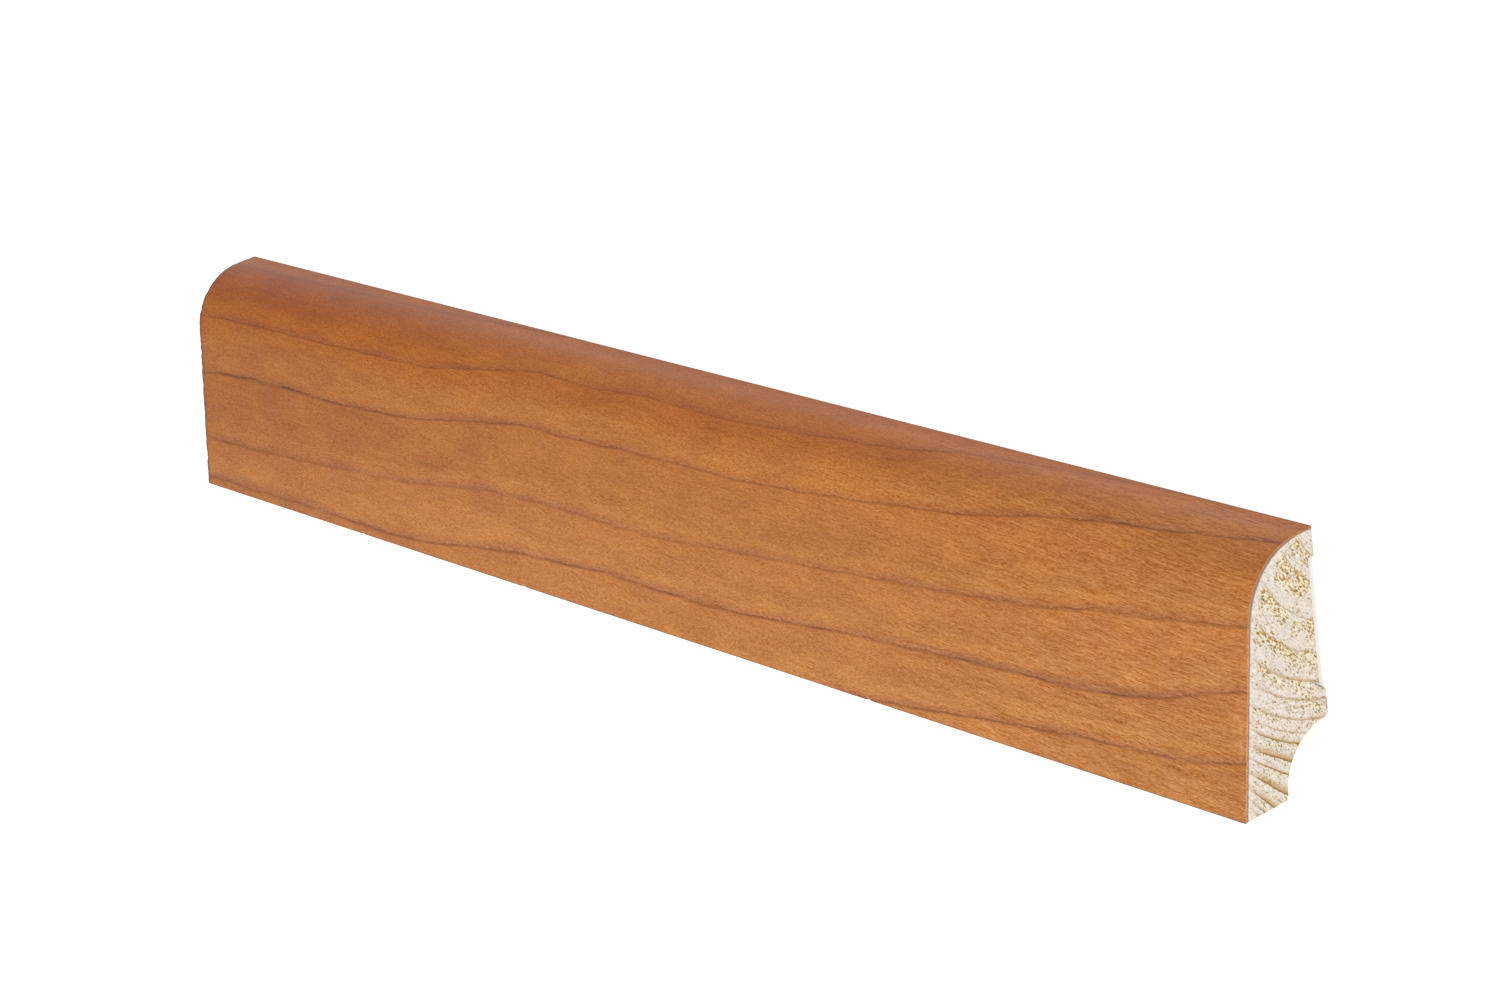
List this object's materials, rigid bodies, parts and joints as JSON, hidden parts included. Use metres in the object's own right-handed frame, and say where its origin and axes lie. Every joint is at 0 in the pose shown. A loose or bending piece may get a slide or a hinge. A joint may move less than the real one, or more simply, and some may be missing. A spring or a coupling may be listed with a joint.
{
  "type": "skirting board length",
  "caption": "Straight veneered skirting board length with a rounded top edge, a leaning face, a clip recess and a quarter-round cable channel behind.",
  "frame": {"origin": "middle of the footprint as the board lies on its back: half-way along the length and half-way between foot and top edge, on the plane of the wall", "axes": "+X along the length, +Y up the board from its foot to its top edge, +Z out from the wall towards the veneered face"},
  "size_m": [0.388, 0.058, 0.0283],
  "materials": {
    "softwood": "planed and sawn, bare",
    "cherry_veneer": "sliced cherry, satin lacquer"
  },
  "bodies": {
    "root": {"softwood_core": "softwood", "cherry_veneer": "cherry_veneer"}
  },
  "joints": []
}
